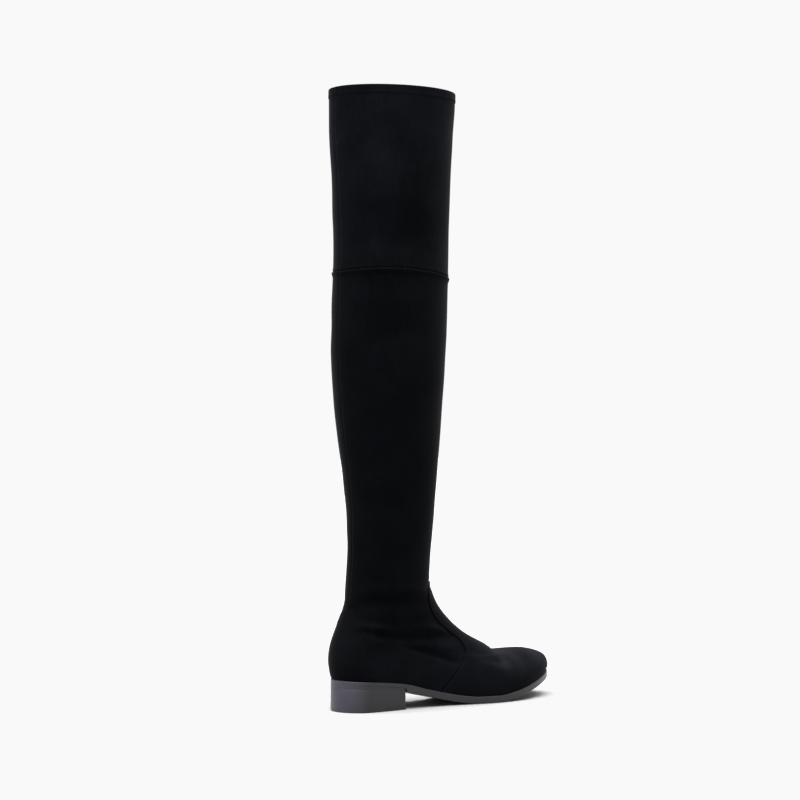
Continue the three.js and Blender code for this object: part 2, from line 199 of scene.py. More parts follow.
# Their plan: fore and rear widen the outline, swell fills the arch, leg turns the ring
# into the ankle's oval, and nose is the share of the ring's length that rounds its front
foot_plans = [
    ("fore", "rear", "swell", "leg", "nose"),
    (1.000, 1.02, 0.0, 0.00, 0.30),
    (1.025, 1.07, 0.3, 0.00, 0.30),
    (1.010, 1.10, 0.7, 0.00, 0.29),
    (0.965, 1.11, 1.0, 0.00, 0.30),
    (0.915, 1.11, 1.0, 0.02, 0.33),
    (0.900, 1.10, 1.0, 0.06, 0.36),
    (0.890, 1.09, 1.0, 0.14, 0.38),
    (0.860, 1.07, 1.0, 0.27, 0.40),
    (0.840, 1.04, 0.8, 0.45, 0.42),
    (0.870, 1.02, 0.5, 0.66, 0.45),
    (0.930, 1.01, 0.2, 0.85, 0.48),
]
widen_from = 0.25
widen_to = 0.80
sag_round = 0.25
rings_on_sole = 4

# Rings of the leg from the ankle to the knee seam: at is a share of that height, middle
# a share of the sole length, and depth and width run from the ankle's to the leg's own
leg_rings = curves("at middle depth width", [
    (0.00, 0.2330, 0.010, 0.030),
    (0.06, 0.2380, 0.005, 0.000),
    (0.16, 0.2450, 0.063, 0.090),
    (0.26, 0.2480, 0.152, 0.234),
    (0.36, 0.2465, 0.315, 0.446),
    (0.48, 0.2405, 0.556, 0.712),
    (0.60, 0.2380, 0.748, 0.901),
    (0.70, 0.2385, 0.886, 0.978),
    (0.82, 0.2410, 1.000, 0.965),
    (1.00, 0.2505, 1.000, 0.864),
])

# Rings of the thigh panel from the knee seam to the top line, in like shares
thigh_rings = curves("at middle depth width", [
    (0.00, 0.2505, 0.00, 0.00),
    (0.25, 0.2535, 0.14, 0.55),
    (0.50, 0.2530, 0.42, 1.10),
    (0.75, 0.2525, 0.78, 1.20),
    (0.92, 0.2575, 0.97, 1.05),
    (1.00, 0.2585, 1.00, 1.00),
])

# Edge of the vamp and its tongue from the side: z is a share of the ankle height and x
# one of the sole length
vamp_edge = curves("z x", [
    (-0.050, 0.375),
    (0.157, 0.420),
    (0.240, 0.456),
    (0.330, 0.492),
    (0.390, 0.514),
    (0.450, 0.519),
    (0.530, 0.507),
    (0.627, 0.450),
    (0.700, 0.405),
    (0.785, 0.370),
    (0.870, 0.355),
    (0.955, 0.351),
    (0.990, 0.355),
    (1.020, 0.366),
    (1.038, 0.383),
    (1.046, 0.410),
])["x"]
vamp_top = 1.046

# Top edge of the heel counter from the side, up from the vamp, in like shares
counter_edge = curves("z x", [
    (0.318, 0.500),
    (0.365, 0.400),
    (0.424, 0.345),
    (0.500, 0.240),
    (0.578, 0.140),
    (0.630, 0.085),
    (0.710, 0.056),
    (0.800, 0.053),
    (0.880, 0.045),
])["x"]


def sole_x(share):
    return heel_back + sole_length * share


def sole_share(x):
    return (x - heel_back) / sole_length


def underside_height(x):
    return seat_height * underside(sole_share(x))


def sole_top(x):
    thinning = smoothstep(sole_share(x), 0.6, 1.0)
    return underside_height(x) + lerp(sole_thickness, toe_thickness, thinning)


def feather_height(x):
    return sole_top(x) + fit


def end_round(distance, length):
    """A round end: 0 at the tip, and 1 from the given length on."""
    left = 1 - min(1, max(0, distance) / length)
    return math.sqrt(1 - left * left)


def toe_shift(share):
    forward = max(0, share - lean_from) / (1 - lean_from)
    return ball_width * toe_lean * forward * forward


def ring_curves():
    """Curves through the foot's rings, whose last one is the leg's first."""
    ankle_share = lerp(ankle_depth, leg_depth, leg_rings["depth"](0)) / sole_length
    middle = leg_rings["middle"](0)
    last = (middle - ankle_share / 2, 1, middle + ankle_share / 2, 1, 0, 1, 1, 0, 1, 0.5)
    names = foot_ends[0] + foot_plans[0]
    rows = [ends + plan for ends, plan in zip(foot_ends[1:], foot_plans[1:])] + [last]
    places = list(range(len(rows)))
    return {name: Curve(places, [row[i] for row in rows]) for i, name in enumerate(names)}


foot_rings = ring_curves()
foot_places = len(foot_ends) - 1
first_rises = (foot_ends[1][1], foot_ends[1][3])


@lru_cache(maxsize=4096)
def foot_ring(place):
    return {name: curve(place) for name, curve in foot_rings.items()}


@lru_cache(maxsize=4096)
def leg_ring(place):
    depth = lerp(ankle_depth, leg_depth, leg_rings["depth"](place))
    width = lerp(ankle_width, leg_width, leg_rings["width"](place))
    return sole_x(leg_rings["middle"](place)), depth, width


@lru_cache(maxsize=4096)
def thigh_ring(place):
    _, knee_depth, knee_width = leg_ring(1)
    depth = lerp(knee_depth, thigh_depth, thigh_rings["depth"](place))
    width = lerp(knee_width, thigh_width, thigh_rings["width"](place))
    return sole_x(thigh_rings["middle"](place)), depth, width


def foot_point(share, side, place):
    ring = foot_ring(place)
    x = lerp(sole_x(ring["back"]), sole_x(ring["front"]), share)
    spot = sole_share(x)
    if side < 0:
        width = outline["outer"](spot)
    else:
        width = outline["inner"](spot) + outline["arch"](spot) * ring["swell"]
    oval = leg_ring(0)[2] / 2
    leg = ring["leg"]
    ends = end_round(1 - share, ring["nose"]) * end_round(share, lerp(heel_round, 0.5, leg))
    widen = lerp(ring["rear"], ring["fore"], smoothstep(share, widen_from, widen_to))
    half = widen * lerp(ball_width * width - foot_inset, oval, leg) * ends

    sag = end_round(1 - share, sag_round) ** 2 * smoothstep(share, 0, widen_to)
    rise = lerp(ring["back_rise"], ring["front_rise"], share) - ring["drop"] * sag
    first_rise = ankle_height * lerp(*first_rises, share)
    on_sole = max(0, 1 - place / rings_on_sole) * (feather_height(x) - first_rise)
    return Vector((x, side * half + toe_shift(spot), ankle_height * rise + on_sole))


def seam_dip(share):
    return seam_front_dip * share**2 + seam_back_dip * (1 - share) ** 6


def leg_point(share, across, place):
    middle, depth, width = leg_ring(place)
    z = ankle_height + leg_height * place - seam_dip(share) * place**4
    return Vector((middle + depth * (share - 0.5), across * width / 2, z))


def thigh_point(share, across, place):
    middle, depth, width = thigh_ring(place)
    rise = top_line_rise * place**2 * (share - 0.5)
    z = knee_seam_height + thigh_height * place - seam_dip(share) * (1 - place) ** 4 + rise
    return Vector((middle + depth * (share - 0.5), across * width / 2, z))


def form_point(turn, level):
    """The boot's outer form. turn runs once round from the back by the outer side, and
    level from 0 at the feather line to 1 at the ankle, 2 at the knee seam, 3 at the top."""
    angle = math.tau * turn
    share = (1 - math.cos(angle)) / 2
    sine = math.sin(angle)
    if level <= 1:
        return foot_point(share, 1 if sine < 0 else -1, level * foot_places)
    if level <= 2:
        return leg_point(share, -sine, level - 1)
    return thigh_point(share, -sine, level - 2)


tiny = 1e-4


def form_normal(turn, level):
    up = form_point(turn, level + tiny) - form_point(turn, max(0, level - tiny))
    around = form_point(turn + tiny, level) - form_point(turn - tiny, level)
    normal = around.cross(up)
    if level == 0:
        normal.z = 0
    return normal.normalized()


# Folds of the foot, leg and thigh from the side. Each has a side, -1 for the outer one and 1
# for the inner one, its rise and half width in mm, and the points of its middle line: x as a
# share of the sole length, and z as one of the ankle height.
foot_folds = [
    {"side": -1, "rise": 1.4, "wide": 3.4, "line": [(0.03, 0.700), (0.10, 0.692), (0.17, 0.665)]},
    {"side": -1, "rise": 1.6, "wide": 3.8, "line": [(0.25, 0.668), (0.36, 0.668), (0.45, 0.605)]},
    {"side": -1, "rise": -2.6, "wide": 4.4,
     "line": [(0.065, 0.66), (0.14, 0.618), (0.24, 0.585), (0.47, 0.578)]},
    {"side": -1, "rise": 1.5, "wide": 5.0, "line": [(0.28, 0.530), (0.38, 0.505), (0.48, 0.470)]},
    {"side": -1, "rise": -2.2, "wide": 3.4,
     "line": [(0.22, 0.520), (0.34, 0.462), (0.43, 0.388), (0.48, 0.340)]},
    {"side": -1, "rise": 0.8, "wide": 6.0, "line": [(0.02, 0.985), (0.18, 0.975), (0.36, 0.985)]},
    {"side": -1, "rise": -1.5, "wide": 6.0, "line": [(0.04, 0.885), (0.18, 0.890), (0.36, 0.885)]},
    {"side": -1, "rise": 0.9, "wide": 5.5, "line": [(0.08, 0.790), (0.22, 0.770), (0.36, 0.790)]},
    {"side": -1, "rise": -1.0, "wide": 4.5, "line": [(0.56, 0.390), (0.64, 0.335), (0.74, 0.320)]},
    {"side": -1, "rise": -0.8, "wide": 4.0, "line": [(0.62, 0.400), (0.68, 0.300), (0.70, 0.220)]},
    {"side": 1, "rise": 1.4, "wide": 3.8, "line": [(0.06, 0.715), (0.24, 0.690), (0.43, 0.640)]},
    {"side": 1, "rise": -2.3, "wide": 4.6, "line": [(0.06, 0.640), (0.26, 0.592), (0.46, 0.548)]},
    {"side": 1, "rise": 1.2, "wide": 5.0, "line": [(0.26, 0.520), (0.36, 0.500), (0.47, 0.462)]},
    {"side": 1, "rise": -1.6, "wide": 3.8, "line": [(0.30, 0.488), (0.40, 0.425), (0.47, 0.372)]},
    {"side": 1, "rise": -1.4, "wide": 6.0, "line": [(0.05, 0.905), (0.20, 0.870), (0.35, 0.895)]},
    {"side": 1, "rise": 0.8, "wide": 5.5, "line": [(0.07, 0.800), (0.22, 0.765), (0.36, 0.795)]},
    {"side": 1, "rise": -1.0, "wide": 4.5, "line": [(0.56, 0.400), (0.65, 0.340), (0.74, 0.330)]},
]
leg_folds = [
    {"side": -1, "rise": -0.9, "wide": 10, "line": [(0.02, 1.35), (0.18, 1.28), (0.38, 1.33)]},
    {"side": -1, "rise": 0.8, "wide": 12, "line": [(0.00, 1.62), (0.20, 1.52), (0.40, 1.60)]},
    {"side": -1, "rise": -0.9, "wide": 15, "line": [(0.05, 2.05), (0.22, 1.95), (0.40, 2.04)]},
    {"side": 1, "rise": -0.9, "wide": 11, "line": [(0.04, 1.36), (0.22, 1.30), (0.40, 1.40)]},
    {"side": 1, "rise": 0.8, "wide": 14, "line": [(0.02, 1.85), (0.20, 1.75), (0.40, 1.84)]},
    {"side": -1, "rise": -1.2, "wide": 15, "line": [(-0.03, 3.20), (0.12, 3.10), (0.30, 3.16)]},
    {"side": 1, "rise": -1.2, "wide": 15, "line": [(-0.03, 3.20), (0.12, 3.12), (0.30, 3.18)]},
    {"side": -1, "rise": 0.9, "wide": 13, "line": [(-0.02, 3.44), (0.13, 3.38), (0.34, 3.44)]},
]
thigh_folds = [
    {"side": -1, "rise": 2.0, "wide": 19, "line": [(0.03, 3.98), (0.15, 4.28), (0.34, 4.68), (0.46, 5.0)]},
    {"side": -1, "rise": -2.0, "wide": 16, "line": [(0.08, 3.82), (0.27, 3.90), (0.45, 3.98)]},
    {"side": -1, "rise": -1.2, "wide": 15, "line": [(-0.02, 4.40), (0.08, 4.72), (0.24, 4.98)]},
    {"side": 1, "rise": 1.8, "wide": 19, "line": [(0.05, 3.98), (0.20, 4.34), (0.42, 4.80)]},
    {"side": 1, "rise": -1.8, "wide": 16, "line": [(0.14, 3.82), (0.30, 3.92), (0.45, 4.02)]},
]
fold_fade = 0.3
fold_reach = 3


def prepared(folds):
    """Each fold in metres, with the stretches of its middle line and the box that it reaches."""
    made = []
    for fold in folds:
        wide = fold["wide"] * mm
        line = [(sole_x(x), ankle_height * z) for x, z in fold["line"]]
        stretches = [(a, b, (b[0] - a[0]) ** 2 + (b[1] - a[1]) ** 2) for a, b in zip(line, line[1:])]
        across, up = [x for x, _ in line], [z for _, z in line]
        reach = fold_reach * wide
        box = (min(across) - reach, max(across) + reach, min(up) - reach, max(up) + reach)
        made.append((fold["side"], fold["rise"] * mm, wide, stretches, box))
    return made


foot_creases = prepared(foot_folds)
leg_creases = prepared(leg_folds)
thigh_creases = prepared(thigh_folds)


def fold_rise(point, side, creases):
    """How far the folds move a point of the form. Each fades out towards its ends."""
    x, z = point.x, point.z
    total = 0.0
    for fold_side, rise, wide, stretches, (left, right, low, high) in creases:
        if fold_side != side or not (left < x < right and low < z < high):
            continue
        best, place = 9.0, 0.0
        for i, (a, b, length_squared) in enumerate(stretches):
            along_x, along_z = b[0] - a[0], b[1] - a[1]
            t = clamp(((x - a[0]) * along_x + (z - a[1]) * along_z) / length_squared)
            reach = math.hypot(x - a[0] - along_x * t, z - a[1] - along_z * t)
            if reach < best:
                best, place = reach, (i + t) / len(stretches)
        if best < fold_reach * wide:
            ends = smoothstep(place, -0.1, fold_fade) * smoothstep(1 - place, -0.1, fold_fade)
            total += ends * rise * math.exp(-((best / wide) ** 2))
    return total


# Where the folds fade in: over the front and back, the knee seam, the hem and the feather line
fade_at_ends = (0.0, 0.06)
fade_over_seam = (0.0, 0.12)
fade_under_seam = (0.02, 0.12)
fade_under_hem = (0.04, 0.2)
fade_over_sole = (0.20, 0.34)


def drape(turn, level, point):
    """The folds of the suede where the form has this point, soft at front and back."""
    side = 1 if math.sin(math.tau * turn) < 0 else -1
    share = (1 - math.cos(math.tau * turn)) / 2
    soft = smoothstep(share, *fade_at_ends) * smoothstep(1 - share, *fade_at_ends)
    if level > 2:
        edges = smoothstep(level - 2, *fade_over_seam) * smoothstep(3 - level, *fade_under_hem)
        return edges * soft * fold_rise(point, side, thigh_creases)
    if level > 1:
        edges = smoothstep(2 - level, *fade_under_seam)
        return edges * soft * fold_rise(point, side, leg_creases + foot_creases)
    rise = smoothstep(point.z / ankle_height, *fade_over_sole)
    return rise * soft * fold_rise(point, side, foot_creases + leg_creases)


# Seam up the centre of the back, sewn right sides together, so it shows as a fine groove
back_seam_depth = 0.35 * mm
back_seam_wide = 0.7 * mm
back_seam_turns = [0.0014, 0.0028, 0.0045, 0.0072]
back_seam_from = 0.9
back_seam_reach = 0.02


def back_seam(turn, level, point):
    if level < back_seam_from or back_seam_reach <= turn <= 1 - back_seam_reach:
        return 0.0
    return -back_seam_depth * math.exp(-((point.y / back_seam_wide) ** 2))


uneven_size = 35 * mm
uneven_rise = 0.35 * mm
uneven_from = 0.15


def waver(point, level):
    """A small unevenness of hand-pulled suede, the same in every run."""
    return uneven_rise * noise.noise(point / uneven_size) * smoothstep(level, 0.0, uneven_from)


def surface(turn, level, out=0.0, lower=0.0):
    """A point moved out from the boot's form, with its folds."""
    point = form_point(turn, level)
    uneven = waver(point, level)
    out += drape(turn, level, point) + back_seam(turn, level, point) + uneven
    point += form_normal(turn, level) * out
    point.z -= lower
    return point


# How light the suede is painted at a height, as a share of the ankle height: painted light low on the
# foot, where the floor's bounce would light it, painted shade round the ankle, and the thigh panel lighter
tone_and_painted_light_by_height = curves("z light", [
    (0.00, 1.90),
    (0.30, 1.90),
    (0.45, 1.65),
    (0.60, 1.25),
    (0.80, 0.75),
    (0.95, 0.70),
    (1.20, 0.85),
    (2.00, 1.00),
    (3.60, 1.00),
    (3.70, 1.45),
    (4.40, 1.45),
    (5.20, 1.85),
])["light"]

# Spots painted lighter or darker: side, x and z as for the folds, the reach in mm, and how many times
# lighter the middle is, as a power of two.
# Some are patches where the nap is brushed another way; the others are painted light and shade: painted
# highlights on the fold ridges and the toe's top, and painted shade in the fold troughs
nap_and_painted_light_spots = [
    (-1, 0.13, 0.36, 16, 0.30),
    (-1, 0.02, 0.30, 12, -0.25),
    (-1, 0.36, 0.47, 8, 0.30),
    (-1, 0.12, 0.62, 5, -0.45),
    (-1, 0.18, 0.59, 7, -0.50),
    (-1, 0.27, 0.57, 7, -0.50),
    (-1, 0.36, 0.565, 7, -0.45),
    (-1, 0.36, 0.43, 5, -0.35),
    (-1, 0.44, 0.37, 6, -0.45),
    (-1, 0.10, 0.69, 5, 0.90),
    (-1, 0.37, 0.67, 6, 0.90),
    (-1, 0.60, 0.47, 15, 0.60),
    (-1, 0.74, 0.43, 15, 0.90),
    (-1, 0.90, 0.38, 15, 1.20),
    (-1, 0.69, 0.33, 7, 0.80),
    (-1, 0.78, 0.34, 8, 0.75),
    (-1, 0.83, 0.34, 5, -0.40),
    (-1, 0.70, 0.31, 6, 0.45),
    (-1, 0.60, 0.26, 9, -0.25),
    (1, 0.60, 0.47, 15, 0.60),
    (1, 0.74, 0.43, 15, 0.80),
    (1, 0.90, 0.38, 15, 0.80),
    (-1, 0.05, 4.62, 42, 0.55),
    (-1, 0.12, 4.98, 30, 0.20),
    (-1, 0.23, 4.14, 24, -0.65),
    (-1, 0.29, 3.95, 22, -0.80),
    (-1, 0.19, 3.92, 14, -0.30),
    (-1, 0.38, 3.72, 11, 0.85),
    (-1, 0.07, 3.80, 12, 0.35),
    (-1, 0.40, 4.75, 20, 0.20),
    (-1, 0.20, 0.86, 14, -0.35),
    (-1, 0.34, 0.88, 10, -0.30),
    (-1, 0.045, 0.87, 5, -1.60),
    (1, 0.10, 0.36, 18, 0.30),
    (1, 0.30, 4.20, 40, -0.50),
    (1, 0.12, 4.70, 45, 0.40),
    (1, 0.20, 2.40, 45, -0.25),
]
nap_and_painted_light_places = [
    (side, sole_x(x), ankle_height * z, reach * mm, power) for side, x, z, reach, power in nap_and_painted_light_spots
]
spot_side_blend = 16 * mm
spot_cutoff = 6


def nap_and_painted_light_at(point):
    """How light the suede is painted at a point: its nap, with painted light and shade by height and in
    spots.
    """
    px, py, pz = point
    total = 0.0
    for side, x, z, reach, power in nap_and_painted_light_places:
        far = ((px - x) ** 2 + (pz - z) ** 2) / reach**2
        if far < spot_cutoff:
            total += power * math.exp(-far) * clamp(0.5 + side * py / spot_side_blend)
    return tone_and_painted_light_by_height(pz / ankle_height) * 2**total


def add_nap_and_painted_light(mesh):
    """Stores how light each point of a piece is painted: its nap, with painted light and shade."""
    layer = mesh.attributes.new("nap_and_painted_light", "FLOAT", "POINT")
    layer.data.foreach_set("value", [nap_and_painted_light_at(vert.co) for vert in mesh.vertices])


# How many columns and rows the meshes have
wall_columns = 212
foot_rows = 76
leg_rows = 150
thigh_rows = 92
hem_rows = 5
foot_lining_rows = 44
leg_lining_rows = 60
thigh_lining_rows = 44
vamp_columns = 190
vamp_rows = 120
counter_columns = 300
counter_rows = 56
outsole_columns = 360
heel_columns = 240
insole_columns = 200


def new_mesh(name, bm, materials, slot):
    """A piece of the boot from a bmesh, smooth, with its finish."""
    mesh = bpy.data.meshes.new(name)
    for face in bm.faces:
        face.smooth = True
    bm.to_mesh(mesh)
    bm.free()
    for material in materials:
        mesh.materials.append(material)
    if slot == "suede":
        add_nap_and_painted_light(mesh)
    piece = bpy.data.objects.new(name, mesh)
    bpy.context.scene.collection.objects.link(piece)
    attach(piece, "root")
    return piece


def grid(columns, rows, place, lining_from=None):
    """A flat grid whose points are moved to place(column, row), each from 0 to 1. Rows from
    lining_from on get the second material."""
    bm = bmesh.new()
    bmesh.ops.create_grid(bm, x_segments=columns, y_segments=rows, size=0.5)
    if lining_from is not None:
        for face in bm.faces:
            row = (face.calc_center_median().y + 0.5) * rows
            face.material_index = 1 if row > lining_from else 0
    for vert in bm.verts:
        u = round((vert.co.x + 0.5) * columns) / columns
        v = round((vert.co.y + 0.5) * rows) / rows
        vert.co = place(u, v)
    return bm


def close(bm):
    """Welds the seam and poles of a wrapped grid and turns its faces out."""
    bmesh.ops.remove_doubles(bm, verts=bm.verts, dist=1e-6)
    bmesh.ops.dissolve_degenerate(bm, dist=1e-7, edges=bm.edges)
    bmesh.ops.recalc_face_normals(bm, faces=bm.faces)
    if bm.calc_volume(signed=True) < 0:
        bmesh.ops.reverse_faces(bm, faces=bm.faces)
    return bm


def spread(start, end, count):
    return [lerp(start, end, i / count) for i in range(count + 1)]


def wall_turns():
    """Places round the wall, close together at the seam of the back."""
    near = [0.0] + back_seam_turns
    far = 2 * back_seam_turns[-1] - back_seam_turns[-2]
    return near + spread(far, 1 - far, wall_columns) + [1 - turn for turn in reversed(near[1:])]


def tube(rings, lining_from):
    """A wrapped wall through rings, each with its level, out and any more that surface takes.
    Past the ring numbered lining_from it is lined."""
    turns = wall_turns()
    count = len(rings)

    def place(u, v):
        turn = turns[round(u * len(turns)) % len(turns)]
        return surface(turn, *rings[round(v * count) % count])

    return close(grid(len(turns), count, place, lining_from))


# Edge of the wall under the knee seam: how far under the seam as a share of its reach, and how
# far the edge stands out as a share of the ridge
knee_edge = [
    (1.60, 0.00),
    (1.30, 0.04),
    (1.00, 0.18),
    (0.75, 0.45),
    (0.50, 0.68),
    (0.30, 0.75),
    (0.16, 0.71),
    (0.07, 0.52),
    (0.02, 0.10),
]

# The thigh panel over the knee seam, and its hem under the top line, in mm: distance and out
panel_foot = [(0.25, 0.00), (0.60, 0.28), (1.10, 0.42), (1.80, 0.45), (2.80, 0.30), (4.20, 0.10)]
hem_foot = [(1.0, 0.00), (0.5, 0.02), (0.0, 0.10), (-0.6, 0.32), (-1.4, 0.5)]
hem_lip = [(1.10, 0.50), (0.50, 0.38), (0.12, 0.05)]


def build_upper(suede, lining):
    """Foot and leg as one wall up to the knee seam, whose edge stands out."""

    def below(length):
        return 2 - length / leg_height

    rings = [(0, -0.9 * mm, 0.25 * mm), (0, -0.25 * mm, 0.2 * mm)]
    rings += [(level,) for level in spread(0, 1, foot_rows)]
    edge = below(knee_edge[0][0] * seam_reach)
    rings += [(level,) for level in spread(1, edge, leg_rows)[1:-1]]
    rings += [(below(share * seam_reach), out * seam_ridge) for share, out in knee_edge]
    rings.append((below(knee_edge[-1][0] * seam_reach), -upper_wall / 2))
    outside = len(rings)
    inside = spread(below(0.1 * seam_reach), 1, leg_lining_rows)
    inside += spread(1, 0, foot_lining_rows)[1:]
    rings += [(level, -upper_wall) for level in inside]
    piece = new_mesh("upper_suede", tube(rings, outside), [suede, lining], "suede")
    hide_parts("upper")


def build_thigh_panel(suede, lining):
    """The wall above the knee seam, with a folded hem at the top line."""

    def above(length):
        return 2 + length * mm / thigh_height

    def down(length):
        return 3 - length * mm / thigh_height

    hem = hem_width / mm
    rings = [(above(panel_foot[0][0]), -upper_wall / 2)]
    rings += [(above(length), out * mm) for length, out in panel_foot]
    rings += [(level,) for level in spread(above(6), down(hem + 1.4), thigh_rows)]
    rings += [(down(hem + length), out * mm) for length, out in hem_foot]
    rings += [(level, hem_step) for level in spread(down(hem - 2), down(1.8), hem_rows)]
    rings += [(down(length), out * mm) for length, out in hem_lip]
    rings += [(down(0.0), -0.45 * upper_wall), (down(0.12), -0.9 * upper_wall)]
    outside = len(rings)
    inside = spread(down(0.6), above(0.3), thigh_lining_rows)
    rings += [(level, -upper_wall) for level in inside]
    piece = new_mesh("thigh_panel_suede", tube(rings, outside), [suede, lining], "suede")
    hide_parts("thigh_panel")


def solve(low, high, ahead):
    """The value between low and high where ahead turns true."""
    for _ in range(30):
        middle = (low + high) / 2
        if ahead(middle):
            high = middle
        else:
            low = middle
    return (low + high) / 2


@lru_cache(maxsize=4096)
def vamp_turn(level, side):
    """Where the vamp's edge crosses a ring, as a turn from the back on one side."""

    def ahead(turn):
        point = form_point(turn if side < 0 else 1 - turn, level)
        return point.x > sole_x(vamp_edge(point.z / ankle_height))

    return solve(0.02, 0.5, ahead)


def overlay(bm, thickness, rounding, rim_material=-1):
    """Gives a skin its thickness, inwards, and rounds its rim, which may have a material."""
    bmesh.ops.remove_doubles(bm, verts=bm.verts, dist=1e-6)
    bmesh.ops.dissolve_degenerate(bm, dist=1e-7, edges=bm.edges)
    bmesh.ops.recalc_face_normals(bm, faces=bm.faces)
    inside = Vector((sole_x(0.35), 0, ankle_height / 4))
    facing = sum(face.normal.dot(face.calc_center_median() - inside) for face in bm.faces)
    if facing < 0:
        bmesh.ops.reverse_faces(bm, faces=bm.faces)
    bm.normal_update()
    bmesh.ops.solidify(bm, geom=bm.faces[:], thickness=thickness)
    bm.normal_update()
    sharp = math.radians(50)
    rim = [edge for edge in bm.edges if edge.is_manifold and edge.calc_face_angle() > sharp]
    bmesh.ops.bevel(
        bm, geom=rim, offset=rounding, segments=2, profile=0.5, affect="EDGES",
        material=rim_material, clamp_overlap=True,
    )
    return bm


vamp_out = fit + vamp_thickness
vamp_top_level = 1 + (vamp_top - 1) * ankle_height / leg_height
vamp_rounding = 0.25 * mm
counter_rounding = 0.2 * mm

# The overlays start this far up from the feather line, with closer rows near their top edge
overlay_foot = 0.002
vamp_crowding = 1.4
counter_crowding = 1.3


def build_vamp(suede):
    """The toe with the tongue that climbs the instep."""

    def place(u, v):
        level = lerp(vamp_top_level, overlay_foot, (1 - v) ** vamp_crowding)
        start = vamp_turn(level, -1)
        end = 1 - vamp_turn(level, 1)
        return surface(lerp(start, end, u), level, vamp_out)

    bm = overlay(grid(vamp_columns, vamp_rows, place), vamp_thickness, vamp_rounding)
    piece = new_mesh("vamp_suede", bm, [suede], "suede")
    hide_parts("vamp")


counter_out = fit + counter_thickness
counter_low, counter_high = counter_edge.places[0], counter_edge.places[-1]

# The counter's front ends stand this part of a turn behind the vamp's edge
counter_gap = 0.0035
end_levels = spread(0, 1, 80)
counter_ends = {
    side: Curve(end_levels, [vamp_turn(level, side) for level in end_levels]) for side in (-1, 1)
}


def counter_turn(reach, level):
    """A place on the counter: reach runs from -1 at the vamp by 0 at the back to 1."""
    side = -1 if reach < 0 else 1
    turn = (counter_ends[side](level) - counter_gap) * abs(reach)
    return turn if side < 0 else (1 - turn) % 1.0


@lru_cache(maxsize=1024)
def counter_level(reach):
    """How high the counter's top edge is at a reach."""

    def past(level):
        point = form_point(counter_turn(reach, level), level)
        height = point.z / ankle_height
        if height > counter_high or height < counter_low:
            return height > counter_high
        return point.x > sole_x(counter_edge(height))

    return solve(0.0, 1.0, past)


def counter_reaches(count):
    """Reaches whose places on the counter's top edge are evenly far apart."""
    reaches = spread(-1, 1, 6 * count)
    edge = []
    for reach in reaches:
        reach = reach or -tiny
        level = counter_level(reach)
        edge.append(form_point(counter_turn(reach, level), level))
    ways = [0.0]
    for a, b in zip(edge, edge[1:]):
        ways.append(ways[-1] + (b - a).length)
    place = Curve(ways, reaches)
    return [place(way) for way in spread(0, ways[-1], count)]


def counter_point(reach, share):
    reach = reach or -tiny
    level = lerp(overlay_foot, counter_level(reach), share)
    return surface(counter_turn(reach, level), level, counter_out)


def build_counter(suede, painted_edge_highlight):
    """The overlay that wraps the heel below its edge and runs forward to the vamp. Its cut rim gets a
    lighter suede, a painted highlight along the edge, apart from the level top at the back."""
    reaches = counter_reaches(counter_columns)

    def place(u, v):
        reach = reaches[round(u * counter_columns)]
        return counter_point(reach, 1 - (1 - v) ** counter_crowding)

    skin = grid(counter_columns, counter_rows, place)
    bm = overlay(skin, counter_thickness, counter_rounding, rim_material=1)
    top = ankle_height * counter_high - 2 * mm
    for face in bm.faces:
        if face.calc_center_median().z > top:
            face.material_index = 0
    piece = new_mesh("heel_counter_suede", bm, [suede, painted_edge_highlight], "suede")
    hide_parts("heel_counter")


def slab(outline_point, rows, count):
    """A flat piece wrapped through rows round its outline. Each row has a share of the way
    out from the middle line, an amount to move in, and a height for each place."""
    last = len(rows) - 1

    def place(u, v):
        share_out, inset, height = rows[round(v * last)]
        point, normal = outline_point(u % 1.0)
        x = point.x - normal.x * inset
        y = (point.y - normal.y * inset) * share_out
        return Vector((x, y, height(x)))

    return close(grid(count, last, place))


def edge_outline(turn):
    """A point of the outsole's plan, round from the back by the outer side."""
    angle = math.tau * turn
    share = (1 - math.cos(angle)) / 2
    side = 1 if math.sin(angle) < 0 else -1
    width = outline["outer" if side < 0 else "inner"](share)
    ends = end_round(share, heel_round) * end_round(1 - share, toe_round)
    return Vector((sole_x(share), side * ball_width * width * ends + toe_shift(share), 0))


def seat_bottom(x):
    return sole_top(x) - seat_thickness


# Rounding of a rubber edge, in mm: inset, and distance from the face
edge_rounding = [(0.45, 0.00), (0.22, 0.06), (0.06, 0.22), (0.00, 0.50)]
edge_inset = edge_rounding[0][0] * mm

# The edges where the outsole and the heel block meet are rounded less
joint_scale = 0.3 * mm


# Rows across the flat faces of these pieces, as shares of the way out from the middle line
outsole_shares = (0, 0.25, 0.5, 0.75, 0.92)
heel_shares = (0, 0.35, 0.7)
insole_shares = (0, 0.3, 0.6, 0.85)


def rounded_edge(bottom, top, low=mm, high=mm):
    """Rows up the side of a slab between two heights, with both its edges rounded. low and
    high are the scales of the lower and the upper rounding."""

    def lift(height, distance):
        return lambda x: height(x) + distance

    rows = [(1, inset * low, lift(bottom, distance * low)) for inset, distance in edge_rounding]
    rows += [(1, 0.0, lambda x, t=t: lerp(bottom(x), top(x), t)) for t in (0.35, 0.65)]
    rows += [
        (1, inset * high, lift(top, -distance * high)) for inset, distance in reversed(edge_rounding)
    ]
    return rows


